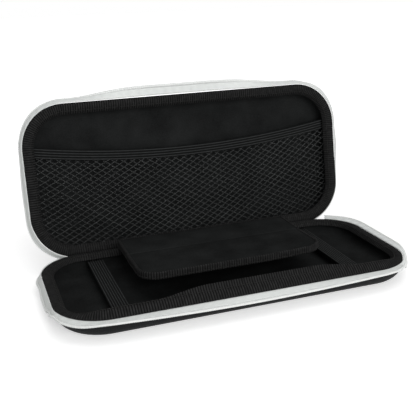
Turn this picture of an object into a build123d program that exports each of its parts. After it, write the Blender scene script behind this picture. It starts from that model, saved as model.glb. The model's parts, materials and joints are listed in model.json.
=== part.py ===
"""Hard zip case for a hand-held game console, standing open with its lid leaning back.

Millimetres, +Z up. The origin is the middle of the base's flat underside, the front is -Y and the
hinge is along +X at the rear. Each half is drawn in its own rim frame: its rim lies in the plane
Z = 0 with its opening upwards, and it is then set in place as the base or as the open lid.
"""

import math
import os

from build123d import *

# The two moulded halves
RIM_W = 256.0  # outer width of a half at its rim
RIM_D = 116.0  # outer depth of a half at its rim
RIM_R = 33.0  # corner radius of the rim, seen from above
BASE_H = 14.0  # underside to rim of the base
LID_H = 17.0  # back to rim of the lid
WALL = 3.0  # moulded foam wall with its cloth on both faces
EDGE_R = 11.0  # rounding between the wall and the flat of a half
RIM_LIP = 2.0  # height of the binding above the wall's edge

# Hinge of the lid
CLOSED_GAP = 6.0  # between the two rims when the lid is shut
HINGE_IN = 2.5  # the fold line lies this far inside the rear rim
HINGE_UP = 0.5  # and this far above the base's rim
LID_OPEN = 99.5  # how far the lid stands open, degrees
SPINE_END = 21.0  # from the start of a rear corner to the end of the cloth spine
SPINE_L = RIM_W - 2 * (RIM_R + SPINE_END)  # length of the cloth spine between the two zipper ends
SPINE_TOP = 1.0  # reach of the spine above the base's rim
SPINE_LOW = 3.4  # and below it
FIT = 0.3  # clearance of cloth that turns past cloth

# Ribbed binding along both rims
BIND_W = 8.2  # seen width
BIND_RISE = 0.9  # crown above the rim plane
BIND_CROWN = 3.2  # distance of the crown from the rim's outer edge
BIND_DROP = 2.2  # the inner edge lies this far below the rim plane
BIND_NOSE = 0.8  # thickness of the rolled inner edge
BIND_TUCK = 2.8  # the binding reaches this far down the inner wall

# Outward roll of the base's binding along the front. The places count the runs, as for the tape below
ROLL = ((2.3, 0.0), (3.0, 1.0), (4.0, 1.0), (4.7, 0.0))  # share of the full roll at a place
ROLL_H = 4.6  # top of the roll above the rim plane
ROLL_SUNK = 0.25  # where it begins, its top lies this far inside the plain binding
ROLL_ROOT = 0.9  # depth of its root in the plain binding
ROLL_SHAPE = (  # shares of the binding's width, inwards, and of the roll's height
    (0.11, 0.2),
    (0.29, 0.52),
    (0.51, 0.83),
    (0.73, 1.0),
    (0.88, 0.87),
    (0.94, 0.33),
)

# Zipper: a woven tape with a nylon coil along its free edge
TAPE_W = 5.8
TAPE_END_W = 4.6  # where it is tucked into the seam
TAPE_GATHER_W = 2.8  # where it is gathered round a front corner
TAPE_T = 0.7
TAPE_ROOT = 0.55  # the tape's sewn edge stands this far off the binding
COIL_W = 2.4
COIL_T = 2.0
COIL_SEAT = 0.05  # between the tape's edge and the coil
BASE_ZIP_END = 60.0  # the base's tape ends at this angle round the rear corners
ZIP_STEP = 7.5  # degrees between the sections of a tape round a corner
ZIP_RUN_STEP = 14.0  # longest distance between sections along a straight side
ZIP_REAR_STEP = 0.35  # share of the rear runs over which the tape turns into its slider

# How the loose tape falls along its way: (place, degrees above the rim plane). The places count the
# runs: 0-1 rear left corner, 1-2 left, 2-3 front left corner, 3-4 front, 4-5 front right corner,
# 5-6 right, 6-7 rear right corner. The lid's runs go on along the rear, before 0 and after 7.
ZIP_END_FALL = -22.0  # degrees, at both ends of the lid's tape, where the sliders are
BASE_FALL = (
    (0.0, -75.0),
    (0.8, -62.0),
    (1.1, -72.0),
    (1.5, -66.0),
    (2.0, -70.0),
    (2.3, 0.0),
    (2.6, -10.0),
    (2.9, 2.0),
    (3.5, -19.0),
    (4.1, 0.0),
    (4.4, 5.0),
    (4.7, -35.0),
    (5.1, -3.0),
    (5.9, -2.0),
    (6.5, 8.0),
    (7.0, 6.0),
)
LID_FALL = (
    (-ZIP_REAR_STEP, ZIP_END_FALL),
    (0.0, -66.0),
    (0.5, -62.0),
    (1.0, -74.0),
    (1.4, -71.0),
    (2.1, -80.0),
    (2.65, -69.0),
    (3.02, -69.0),
    (3.36, -4.0),
    (3.58, -2.0),
    (3.98, -68.0),
    (4.15, -70.0),
    (4.5, -54.0),
    (5.0, -57.0),
    (5.4, -50.0),
    (5.9, -64.0),
    (6.3, -73.0),
    (7.0, -74.0),
    (7 + ZIP_REAR_STEP, ZIP_END_FALL),
)
# Seen width of the tapes along the same places: less where they are tucked in or gathered
BASE_WIDTH = (
    (0.0, TAPE_END_W),
    (1.0, TAPE_W),
    (1.8, TAPE_W),
    (2.05, TAPE_GATHER_W),
    (2.25, TAPE_GATHER_W),
    (2.45, TAPE_END_W),
    (2.95, TAPE_END_W),
    (3.15, TAPE_W),
    (3.85, TAPE_W),
    (4.1, TAPE_END_W),
    (4.4, TAPE_GATHER_W),
    (4.7, TAPE_GATHER_W),
    (5.3, TAPE_W),
    (6.0, TAPE_W),
    (7.0, TAPE_END_W),
)
LID_WIDTH = ((0.0, TAPE_END_W), (1.0, TAPE_W), (6.0, TAPE_W), (7.0, TAPE_END_W))

# Zipper sliders, parked at the two ends of the zipper behind the lid
SLIDER_L = 10.0
SLIDER_W = 6.4
SLIDER_PLATE = 0.7
SLIDER_GAP = 2.6  # between the two plates
SLIDER_LIP = 0.6  # height of the lips that keep the coil in
SLIDER_LIP_W = 0.8
SLIDER_PEG_R = 0.8  # peg between the plates, beside the coil
SLIDER_PAST = 1.5  # the slider reaches this far past the end of the tape
BRIDGE_L = 7.0  # bridge that holds the pull
BRIDGE_W = 2.4
BRIDGE_POST = 1.0
BRIDGE_T = 0.9
PULL_T = 1.3
PULL_PLAY = 0.45  # round the pull's bar under the bridge
PULL_ARM_W = 1.1
PULL_L = 21.0  # from its bar to its tip
PULL_W = 5.2
PULL_EYE = 4.8  # from its bar to the end of its eye

# Mesh pocket in the lid
NET_DEPTH = 6.2  # below the lid's rim plane
NET_T = 0.8
NET_EDGE = 0.25  # clearance to the lid's inner wall
NET_CELL_W = 19.0  # coarse diamonds: the real net's are a third of this
NET_CELL_H = 11.5
NET_STRAND = 2.2
NET_MARGIN = 4.5  # plain edge round the diamonds
HEM_W = 8.0
HEM_T = 1.6
HEM_END = 86.5  # top of the elastic hem above the rear rim, at its two ends
HEM_MID = 75.2  # and in the middle, where it sags
HEM_RIBS = 4
HEM_RIB_W = 1.0
HEM_RIB_T = 0.4

# Two elastic straps across the base
STRAP_W = 12.3
STRAP_T = 1.2
STRAP_IN = 42.5  # centre of a strap from the side of the rim
STRAP_DEPTH = 4.4  # top of a strap below the rim
STRAP_END = 0.7  # between the strap's end and the wall's straight inner face

# Padded flap over the base, sewn on at the rear
FLAP_W = 136.0
FLAP_T = 4.0
FLAP_REAR = 11.0  # its rear edge lies this far inside the rear rim
FLAP_REAR_Z = 10.4  # height of its top above the rim plane at the rear
FLAP_CREASE = 40.0  # from the rear rim to the crease
FLAP_CREASE_Z = 10.0
FLAP_FRONT = 82.0  # from the rear rim to its front edge
FLAP_FRONT_Z = 10.2
FLAP_R = 13.0  # front corners
FLAP_BIND_W = 1.6  # binding on its faces
FLAP_BIND_T = 0.6
ROOT_T = 1.2  # cloth that joins the flap to the base's rear binding
ROOT_INSET = 2.0  # from the side of the flap to the side of its root
ROOT_W = FLAP_W - 2 * ROOT_INSET
ROOT_KNEE_Z = 3.2  # the cloth turns to the rear at this height
ROOT_SEAT = 0.1  # above the crown of the binding that it is sewn to

HALF_X = RIM_W / 2 - RIM_R
HALF_Y = RIM_D / 2 - RIM_R
REAR = RIM_D / 2
HINGE = Axis((0, REAR - HINGE_IN, BASE_H + HINGE_UP), (1, 0, 0))


def on_base(part):
    """Lift a piece from the rim frame to its place in the base."""
    return Pos(0, 0, BASE_H) * part


def on_lid(part):
    """Turn a piece from the rim frame over, shut it on the base and open it about the hinge."""
    shut = Pos(0, 0, BASE_H + CLOSED_GAP) * mirror(part, about=Plane.XY)
    return shut.rotate(HINGE, -LID_OPEN)


def rim_outline(inset):
    """The rim seen from above, drawn in by an inset."""
    return RectangleRounded(RIM_W - 2 * inset, RIM_D - 2 * inset, RIM_R - inset)


def rim_ring(section):
    """Carry a section, drawn in XZ outwards from the rim's edge, once round the rim."""
    corner = revolve(Pos(RIM_R, 0, 0) * section, Axis.Z, 90)
    ring = Part()
    for quarter, (x, y) in enumerate(((1, 1), (-1, 1), (-1, -1), (1, -1))):
        turn = Rot(0, 0, 90 * quarter)
        across, along = (RIM_W / 2, HALF_Y) if quarter % 2 == 0 else (RIM_D / 2, HALF_X)
        side = extrude(Pos(across, -along, 0) * section, 2 * along, dir=(0, 1, 0))
        ring += turn * side
        ring += Pos(x * HALF_X, y * HALF_Y, 0) * (turn * corner)
    return ring


def shell(height):
    """One moulded half: a shallow tray with rounded corners and one even wall."""
    solid = Pos(0, 0, -height) * extrude(rim_outline(0), height - RIM_LIP)
    solid = fillet(solid.faces().sort_by(Axis.Z)[0].edges(), EDGE_R)
    hollow = Pos(0, 0, WALL - height) * extrude(rim_outline(WALL), height)
    hollow = fillet(hollow.faces().sort_by(Axis.Z)[0].edges(), EDGE_R - WALL)
    return solid - hollow


def binding():
    """Rolled band that covers the wall's edge and stands in over the hollow."""
    edge = (0, 0)
    crown = (-BIND_CROWN, BIND_RISE)
    inner = (-BIND_W, -BIND_DROP)
    nose = (-BIND_W + BIND_NOSE / 2, -BIND_DROP - BIND_NOSE)
    with BuildSketch(Plane.XZ) as section:
        with BuildLine():
            ThreePointArc(edge, crown, inner)
            Polyline(inner, nose, (-WALL, -BIND_TUCK), (-WALL, -RIM_LIP), (0, -RIM_LIP), edge)
        make_face()
    return rim_ring(section.sketch)


def eased(keys, place):
    """The value of a list of keys at a place, easing from one key to the next."""
    if place <= keys[0][0]:
        return keys[0][1]
    for (a, low), (b, high) in zip(keys, keys[1:]):
        if place <= b:
            share = (1 - math.cos(math.pi * (place - a) / (b - a))) / 2
            return low + (high - low) * share
    return keys[-1][1]


def zip_stations(corner_end, rear_run):
    """Places along a zipper, from its left end to its right: (run, point, outward direction)."""
    runs = []
    corners = (
        (-1, 1, 180 - corner_end, 180),
        (-1, -1, 180, 270),
        (1, -1, 270, 360),
        (1, 1, 360, 360 + corner_end),
    )
    sides = ((-1, 0, HALF_Y), (0, -1, HALF_X), (1, 0, HALF_Y))
    for number, (x, y, start, stop) in enumerate(corners):
        steps = math.ceil((stop - start) / ZIP_STEP)
        for step in range(steps + 1):
            angle = math.radians(start + (stop - start) * step / steps)
            out = Vector(math.cos(angle), math.sin(angle), 0)
            runs.append((2 * number + step / steps, Vector(x * HALF_X, y * HALF_Y, 0) + out * RIM_R, out))
        if number < len(sides):
            sx, sy, half = sides[number]
            steps = math.ceil(2 * half / ZIP_RUN_STEP)
            out = Vector(sx, sy, 0)
            ahead = Vector(-sy, sx, 0)
            middle = Vector(sx * RIM_W / 2, sy * RIM_D / 2, 0)
            for step in range(1, steps):
                share = step / steps
                runs.append((2 * number + 1 + share, middle + ahead * half * (2 * share - 1), out))
    if rear_run:
        out = Vector(0, 1, 0)
        start, stop = runs[0][0], runs[-1][0]
        for share in (ZIP_REAR_STEP, 1):
            inward = HALF_X - share * rear_run
            runs.insert(0, (start - share, Vector(-inward, REAR, 0), out))
            runs.append((stop + share, Vector(inward, REAR, 0), out))
    return runs


def binding_height(inward):
    """Height of the plain binding's surface, a distance inwards from the rim's edge."""
    arc = ThreePointArc((0, 0), (-BIND_CROWN, BIND_RISE), (-BIND_W, -BIND_DROP))
    middle = arc.arc_center
    return middle.Y + math.sqrt(arc.radius**2 - (inward + middle.X) ** 2)


def front_roll(stations):
    """Outward roll along the front, rooted inside the plain binding."""
    faces = []
    for place, point, out in stations:
        if ROLL[0][0] <= place <= ROLL[-1][0]:
            top, root = [], []
            for wide, high in ROLL_SHAPE:
                inward = wide * BIND_W
                plain = binding_height(inward) - ROLL_SUNK
                level = plain + eased(ROLL, place) * (high * ROLL_H - plain)
                top.append(point - out * inward + Vector(0, 0, level))
                root.append(point - out * inward + Vector(0, 0, plain - ROLL_ROOT))
            faces.append(Face(Wire.make_polygon(top + root[::-1], close=True)))
    return loft(faces, ruled=True)


def zip_frame(station, falls):
    """The tape's own directions at a station: along its width, and out of its outer face."""
    place, _, out = station
    fall = math.radians(eased(falls, place))
    up = Vector(0, 0, 1)
    return out * math.cos(fall) + up * math.sin(fall), out * math.sin(fall) - up * math.cos(fall)


def zip_band(stations, falls, widths, section):
    """Loft a section along the zipper: (width, face) points from the sewn edge, by the tape's width."""
    faces = []
    for station in stations:
        wide, face = zip_frame(station, falls)
        root = station[1] + station[2] * TAPE_ROOT
        corners = [root + wide * w + face * n for w, n in section(eased(widths, station[0]))]
        faces.append(Face(Wire.make_polygon(corners, close=True)))
    return loft(faces, ruled=True)


def tape_section(width):
    """Flat strip from the seam to the coil."""
    half = TAPE_T / 2
    return (0, -half), (width, -half), (width, half), (0, half)


def coil_section(width):
    """Bead with bevelled corners beside a tape of that width."""
    edge, bevel, half = width + COIL_SEAT, COIL_W / 4, COIL_T / 2
    low = ((0, bevel - half), (bevel, -half), (COIL_W - bevel, -half), (COIL_W, bevel - half))
    bead = low + tuple((w, -n) for w, n in reversed(low))
    return tuple((edge + w, n) for w, n in bead)


def zipper(stations, falls, widths):
    """The tape and the coil of one half."""
    return [zip_band(stations, falls, widths, section) for section in (tape_section, coil_section)]


def slider():
    """Slider about the coil: X towards the zipper's end, Y to the seam, Z out of the outer face."""
    level = (SLIDER_GAP + SLIDER_PLATE) / 2
    body = Part()
    for side in (-1, 1):
        plate = Box(SLIDER_L, SLIDER_W, SLIDER_PLATE)
        plate = fillet(plate.edges().filter_by(Axis.Z), SLIDER_W / 4)
        body += Pos(0, 0, side * level) * plate
        for edge in (-1, 1):
            lip = Box(SLIDER_L - SLIDER_W / 2, SLIDER_LIP_W, SLIDER_LIP)
            lip_y = edge * (SLIDER_W - SLIDER_LIP_W) / 2
            body += Pos(0, lip_y, side * (SLIDER_GAP - SLIDER_LIP) / 2) * lip
    peg_y = COIL_W / 2 + FIT + SLIDER_PEG_R
    body += Pos(-SLIDER_L / 2 + 2 * SLIDER_PEG_R, -peg_y, 0) * Cylinder(SLIDER_PEG_R, SLIDER_GAP)
    floor = SLIDER_GAP / 2 + SLIDER_PLATE
    rise = PULL_T + 2 * PULL_PLAY
    for end in (-1, 1):
        post = Box(BRIDGE_POST, BRIDGE_W, rise)
        body += Pos(end * (BRIDGE_L - BRIDGE_POST) / 2, 0, floor + rise / 2) * post
    bar = Box(BRIDGE_L, BRIDGE_W, BRIDGE_T)
    bar = fillet(bar.faces().sort_by(Axis.Z)[-1].edges().filter_by(Axis.Y), BRIDGE_T / 2)
    return body + Pos(0, 0, floor + rise + BRIDGE_T / 2) * bar


def pull():
    """Pull tab, lying along +X with its bar under the slider's bridge."""
    arm_y = BRIDGE_W / 2 + FIT + PULL_ARM_W / 2
    bar = Rot(90, 0, 0) * Cylinder(PULL_T / 2, 2 * arm_y + PULL_ARM_W)
    tab_l = PULL_L - PULL_EYE
    tab = Pos(PULL_EYE + tab_l / 2, 0, 0) * Box(tab_l, PULL_W, PULL_T)
    tip = tab.edges().filter_by(Axis.Z).group_by(Axis.X)[-1]
    tab = fillet(tip, PULL_W / 2 - PULL_T / 2)
    body = bar + tab
    for side in (-1, 1):
        body += Pos(PULL_EYE / 2, side * arm_y, 0) * Box(PULL_EYE, PULL_ARM_W, PULL_T)
    return Pos(0, 0, SLIDER_GAP / 2 + SLIDER_PLATE + PULL_PLAY + PULL_T / 2) * body


def slider_place(station, falls):
    """Plane of the coil's centre a little before the left end of the zipper, X towards the end."""
    wide, face = zip_frame(station, falls)
    inward = Vector(SLIDER_L / 2 - SLIDER_PAST, 0, 0)
    coil = station[1] + station[2] * TAPE_ROOT + wide * (TAPE_END_W + COIL_SEAT + COIL_W / 2)
    return Plane(coil - inward, x_dir=(1, 0, 0), z_dir=face)


def hinge_spine():
    """Cloth roll behind the rear rim, round about the hinge so that the lid's binding turns on it."""
    radius = CLOSED_GAP - HINGE_UP - BIND_RISE - FIT
    roll = Pos(0, REAR - HINGE_IN, HINGE_UP) * (Rot(0, 90, 0) * Cylinder(radius, SPINE_L))
    depth = radius
    keep = Box(SPINE_L, depth, SPINE_TOP + SPINE_LOW)
    return roll & Pos(0, REAR + depth / 2, (SPINE_TOP - SPINE_LOW) / 2) * keep


def hem_arc(drop):
    """An arc of the sagging hem, a distance below its top edge."""
    end = (RIM_W / 2, REAR - HEM_END + drop)
    middle = (0, REAR - HEM_MID + drop)
    return ThreePointArc((-end[0], end[1]), middle, end)


def hem_band(low, high):
    """The strip between two of the hem's arcs, cut to the lid's inside."""
    a, b = hem_arc(low), hem_arc(high)
    edges = [a, Line(a @ 1, b @ 1), b, Line(b @ 0, a @ 0)]
    return make_face(edges) & rim_outline(WALL + NET_EDGE)


def pocket_hem():
    """Elastic along the pocket's mouth, with raised cords along it."""
    hem = Pos(0, 0, -NET_DEPTH - HEM_T / 2) * extrude(hem_band(0, HEM_W), HEM_T)
    pitch = HEM_W / HEM_RIBS
    for rib in range(HEM_RIBS):
        start = rib * pitch + (pitch - HEM_RIB_W) / 2
        band = hem_band(start, start + HEM_RIB_W)
        hem += Pos(0, 0, -NET_DEPTH + HEM_T / 2) * extrude(band, HEM_RIB_T)
    return hem


def mesh_pocket():
    """Net from the hem down to the hinge, with diamond gaps."""
    below = hem_arc(HEM_W)
    far = REAR + RIM_R
    edges = [below, Polyline(below @ 1, (RIM_W / 2, far), (-RIM_W / 2, far), below @ 0)]
    region = make_face(edges) & rim_outline(WALL + NET_EDGE)
    inside = make_face(edges) & rim_outline(WALL + NET_EDGE + NET_MARGIN)
    inside -= hem_band(0, HEM_W + NET_MARGIN)
    wide, high = (NET_CELL_W - NET_STRAND) / 2, (NET_CELL_H - NET_STRAND) / 2
    gap = make_face(Polyline((wide, 0), (0, high), (-wide, 0), (0, -high), (wide, 0)))
    columns = math.floor(RIM_W / NET_CELL_W)
    rows = math.floor(2 * RIM_D / NET_CELL_H)
    gaps = []
    for row in range(rows):
        y = REAR - row * NET_CELL_H / 2
        for column in range(-columns, columns + 1):
            x = (column + row % 2 / 2) * NET_CELL_W
            tips = ((x + wide, y), (x - wide, y), (x, y + high), (x, y - high))
            if all(inside.face().is_inside(Vector(*tip, 0)) for tip in tips):
                gaps.append(Pos(x, y) * gap)
    return Pos(0, 0, -NET_DEPTH - NET_T / 2) * extrude(region - gaps, NET_T)


def strap(side):
    """Elastic strap from the front wall to the rear wall."""
    length = RIM_D - 2 * (WALL + STRAP_END)
    bar = Box(STRAP_W, length, STRAP_T)
    bar = fillet(bar.edges().filter_by(Axis.Y), STRAP_T / 3)
    return Pos(side * (RIM_W / 2 - STRAP_IN), 0, -STRAP_DEPTH - STRAP_T / 2) * bar


def flap_profile(proud):
    """Side view of the flap, thickened on both faces, carried right across the case."""
    top = (
        (REAR - FLAP_REAR, FLAP_REAR_Z + proud),
        (REAR - FLAP_CREASE, FLAP_CREASE_Z + proud),
        (REAR - FLAP_FRONT - proud, FLAP_FRONT_Z + proud),
    )
    thick = FLAP_T + 2 * proud
    outline = top + tuple((y, z - thick) for y, z in reversed(top))
    side = Plane.YZ * make_face(Polyline(*outline, outline[0]))
    return extrude(side, RIM_W / 2, both=True)


def flap_plan(proud):
    """The flap seen from above, with two rounded front corners, as a tall block."""
    length = FLAP_FRONT - FLAP_REAR + proud
    plan = Rectangle(FLAP_W + 2 * proud, length)
    plan = fillet(plan.vertices().group_by(Axis.Y)[0], FLAP_R + proud)
    plan = Pos(0, REAR - FLAP_REAR - length / 2) * plan
    return extrude(plan, RIM_D, both=True)


def flap():
    """The padded panel and the binding that wraps its two sides and its front."""
    panel = flap_profile(0) & flap_plan(0)
    wrap = flap_profile(FLAP_BIND_T) & flap_plan(FLAP_BIND_T)
    wrap -= flap_plan(-FLAP_BIND_W)
    return panel, wrap - panel


def flap_root():
    """Cloth from the flap's rear edge down to the base's rear binding."""
    y, z = REAR - FLAP_REAR, FLAP_REAR_Z - FLAP_T / 2
    foot_y, foot_z = REAR - BIND_CROWN, BIND_RISE + ROOT_SEAT
    points = (
        (y, z),
        (y, ROOT_KNEE_Z - ROOT_T),
        (foot_y - ROOT_T, foot_z),
        (foot_y + ROOT_T, foot_z),
        (y + ROOT_T, ROOT_KNEE_Z),
        (y + ROOT_T, z),
    )
    side = Plane.YZ * make_face(Polyline(*points, points[0]))
    return extrude(side, ROOT_W / 2, both=True)


base_stations = zip_stations(BASE_ZIP_END, 0)
lid_stations = zip_stations(90, HALF_X - SPINE_L / 2 - SLIDER_L / 2)
base_tape, base_coil = zipper(base_stations, BASE_FALL, BASE_WIDTH)
lid_tape, lid_coil = zipper(lid_stations, LID_FALL, LID_WIDTH)
zip_end = slider_place(lid_stations[0], LID_FALL)
left_slider = zip_end * slider()
left_pull = zip_end * pull()
flap_panel, flap_binding = flap()

nodes = {
    "base_shell": on_base(shell(BASE_H)),
    "base_binding": on_base(binding() + front_roll(base_stations)),
    "base_zipper_tape": on_base(base_tape),
    "base_zipper_coil": on_base(base_coil),
    "hinge_spine": on_base(hinge_spine()),
    "left_strap": on_base(strap(-1)),
    "right_strap": on_base(strap(1)),
    "flap_panel": on_base(flap_panel),
    "flap_binding": on_base(flap_binding),
    "flap_root": on_base(flap_root()),
    "lid_shell": on_lid(shell(LID_H)),
    "lid_binding": on_lid(binding()),
    "lid_zipper_tape": on_lid(lid_tape),
    "lid_zipper_coil": on_lid(lid_coil),
    "mesh_pocket": on_lid(mesh_pocket()),
    "pocket_hem": on_lid(pocket_hem()),
    "left_slider": on_lid(left_slider),
    "right_slider": on_lid(mirror(left_slider, about=Plane.YZ)),
    "left_pull": on_lid(left_pull),
    "right_pull": on_lid(mirror(left_pull, about=Plane.YZ)),
}

os.makedirs("parts", exist_ok=True)
for name, piece in nodes.items():
    export_step(piece, f"parts/{name}.step")
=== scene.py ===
"""Looks of a hard zip case for a hand-held console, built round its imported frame."""

import json
import math
from collections import namedtuple

import bmesh
import bpy
from bpy.props import FloatProperty, FloatVectorProperty, IntProperty, PointerProperty
from mathutils import Matrix, Vector, noise


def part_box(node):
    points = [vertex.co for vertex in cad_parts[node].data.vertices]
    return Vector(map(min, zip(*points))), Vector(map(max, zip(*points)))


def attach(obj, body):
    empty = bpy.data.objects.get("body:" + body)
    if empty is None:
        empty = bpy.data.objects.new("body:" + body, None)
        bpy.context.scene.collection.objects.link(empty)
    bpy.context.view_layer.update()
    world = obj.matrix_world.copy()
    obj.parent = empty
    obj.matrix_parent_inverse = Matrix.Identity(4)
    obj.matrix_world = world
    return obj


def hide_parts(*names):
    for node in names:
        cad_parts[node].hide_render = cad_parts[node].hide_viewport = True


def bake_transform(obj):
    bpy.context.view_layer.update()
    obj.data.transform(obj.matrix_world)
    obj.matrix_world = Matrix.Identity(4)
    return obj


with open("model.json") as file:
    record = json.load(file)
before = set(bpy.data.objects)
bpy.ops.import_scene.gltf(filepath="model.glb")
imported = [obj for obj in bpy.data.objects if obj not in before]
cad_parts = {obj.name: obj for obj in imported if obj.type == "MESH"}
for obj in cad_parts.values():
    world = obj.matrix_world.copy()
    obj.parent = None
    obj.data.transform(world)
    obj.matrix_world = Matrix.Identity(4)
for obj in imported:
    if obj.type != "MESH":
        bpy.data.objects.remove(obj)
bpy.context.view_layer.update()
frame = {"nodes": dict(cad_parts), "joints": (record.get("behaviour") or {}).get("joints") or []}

bl_info = {
    "name": "Zip Case Dressing",
    "version": (1, 0, 0),
    "blender": (4, 5, 0),
    "location": "View3D > Sidebar > Zip Case",
    "description": "Dresses the frame of a hard zip case in its cloth, binding, zipper and net",
    "category": "Object",
}

# The case's main sizes, from the frame where it gives them
MM = 0.001
LOW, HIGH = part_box("base_shell")
RIM_W = HIGH.x - LOW.x
RIM_D = HIGH.y - LOW.y
REAR = RIM_D / 2
RIM_R = 33 * MM
HALF_X = RIM_W / 2 - RIM_R
HALF_Y = RIM_D / 2 - RIM_R
BIND_RISE = 0.9 * MM  # crown of the binding above the rim plane
LID_DEPTH = 17 * MM
WALL = 3 * MM
EDGE_R = 11 * MM  # rounding between a half's wall and its flat
RIM_LIP = 2 * MM  # height of the binding above the wall's edge
RIM_Z = HIGH.z + RIM_LIP
CLOSED_GAP = 6 * MM  # between the two rims when the lid is shut
LID_HINGE = next(j for j in frame["joints"] if j["name"] == "lid_hinge")
HINGE = Vector(LID_HINGE["pos_m"])
LID_OPEN = math.radians(-LID_HINGE["range_deg"][0])
ZIP_TURN = math.radians(60)  # the base's zipper ends this far round the rear corners
SPINE_L = 148 * MM  # cloth hinge between the zipper's two ends
SLIDER_L = 10 * MM
ROOT_W = 132 * MM  # cloth behind the flap
WALL_GAP = 0.3 * MM  # between the net and the lid's wall
TRAY_STEP = 4.2 * MM  # between the stations round a moulded half
SWELL_FRAMES = 20  # length of the flap's cloth simulation

FLAP_REAR = REAR - 11 * MM
FLAP_CREASE = REAR - 40 * MM
FLAP_FRONT = REAR - 82 * MM

# From the rim frame, with the rim in the plane Z = 0 and the opening upwards, to each half's place
BASE_PLACE = Matrix.Translation((0, 0, RIM_Z))
LID_PLACE = (
    Matrix.Translation(HINGE)
    @ Matrix.Rotation(-LID_OPEN, 4, "X")
    @ Matrix.Translation(-HINGE)
    @ Matrix.Translation((0, 0, RIM_Z + CLOSED_GAP))
    @ Matrix.Diagonal((1, 1, -1, 1))
)

# How the loose zipper tape falls: (place, degrees above the rim plane). The places count the runs:
# 0-1 rear left corner, 1-2 left, 2-3 front left corner, 3-4 front, 4-5 front right corner,
# 5-6 right, 6-7 rear right corner
BASE_FALL = (
    (0.0, -75), (0.8, -62), (1.1, -72), (1.5, -66), (2.0, -70), (2.3, 0), (2.6, -10), (2.9, 2),
    (3.5, -19), (4.1, 0), (4.3, 0), (4.5, -62), (4.65, -58), (5.1, -3), (5.9, -2), (6.5, 8), (7.0, 6),
)
LID_FALL = (
    (-0.35, -22), (0.0, -66), (0.5, -62), (1.0, -74), (1.4, -71), (2.1, -80), (2.65, -69), (3.02, -69),
    (3.36, -4), (3.58, -2), (3.98, -68), (4.15, -70), (4.5, -54), (5.0, -57), (5.4, -50), (5.9, -64),
    (6.3, -73), (7.0, -74), (7.35, -22),
)

# The binding's curve, as shares of its width, and its rolled and flared forms along the base's front,
# as millimetres inwards from the rim's edge and above the rim plane
BIND_SHARES = (0, 0.055, 0.11, 0.2, 0.29, 0.4, 0.51, 0.62, 0.73, 0.81, 0.88, 0.93, 0.96, 0.98, 0.99, 1)
ROLLED = (
    (0, 0), (0.45, 0.5), (0.9, 1.0), (1.6, 1.75), (2.4, 2.5), (3.3, 3.2), (4.2, 3.85), (5.1, 4.35),
    (6.0, 4.65), (6.6, 4.6), (7.0, 4.3), (7.3, 3.6), (7.5, 2.6), (7.7, 1.4), (7.9, 0), (8.2, -2.2),
)
FLARED = (
    (0, 0), (0.45, 0.5), (0.9, 1.0), (1.6, 1.75), (2.4, 2.5), (3.3, 3.2), (4.2, 3.85), (5.1, 4.35),
    (6.0, 4.75), (7.0, 5.6), (8.0, 6.8), (8.9, 8.1), (9.3, 8.2), (9.2, 7.2), (8.3, 4.0), (8.2, -2.2),
)
ROLL = ((2.3, 0), (3.0, 1), (4.0, 1), (4.7, 0))
FLARE = ((3.1, 0), (3.35, 1), (3.75, 1), (3.97, 0.1))
# Sections of the two loose cloths, as millimetres (to the rear, upwards): the flap's from the rim
# frame, the hinge's from the frame's origin
ROOT_LINE = ((47.3, 8.2), (47.5, 5.0), (48.4, 3.0), (50.5, 2.0), (53.0, 1.4), (55.5, 1.25))
SPINE_LINE = (
    (58.2, 11.9), (58.35, 10.6), (58.9, 9.5), (60.0, 8.9), (61.4, 8.9), (62.8, 9.4), (64.2, 9.75),
    (65.8, 9.75), (66.8, 9.7),
)
SEAM = 8  # point of the binding's curve where its seam runs
CORD = 2 * MM  # width of one cord of an elastic on its UV map

Station = namedtuple("Station", "along place point out")


def srgb(text):
    """Linear colour of an sRGB hex value."""
    parts = [int(text[i : i + 2], 16) / 255 for i in (1, 3, 5)]
    linear = [p / 12.92 if p <= 0.04045 else ((p + 0.055) / 1.055) ** 2.4 for p in parts]
    return (*linear, 1.0)


def length(label, words, millimetres):
    """A length that the user can change."""
    return FloatProperty(name=label, description=words, default=millimetres * MM, unit="LENGTH", precision=4)


def colour(label, words, text):
    """A colour that the user can change."""
    return FloatVectorProperty(
        name=label, description=words, default=srgb(text), size=4, min=0, max=1, subtype="COLOR"
    )


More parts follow.
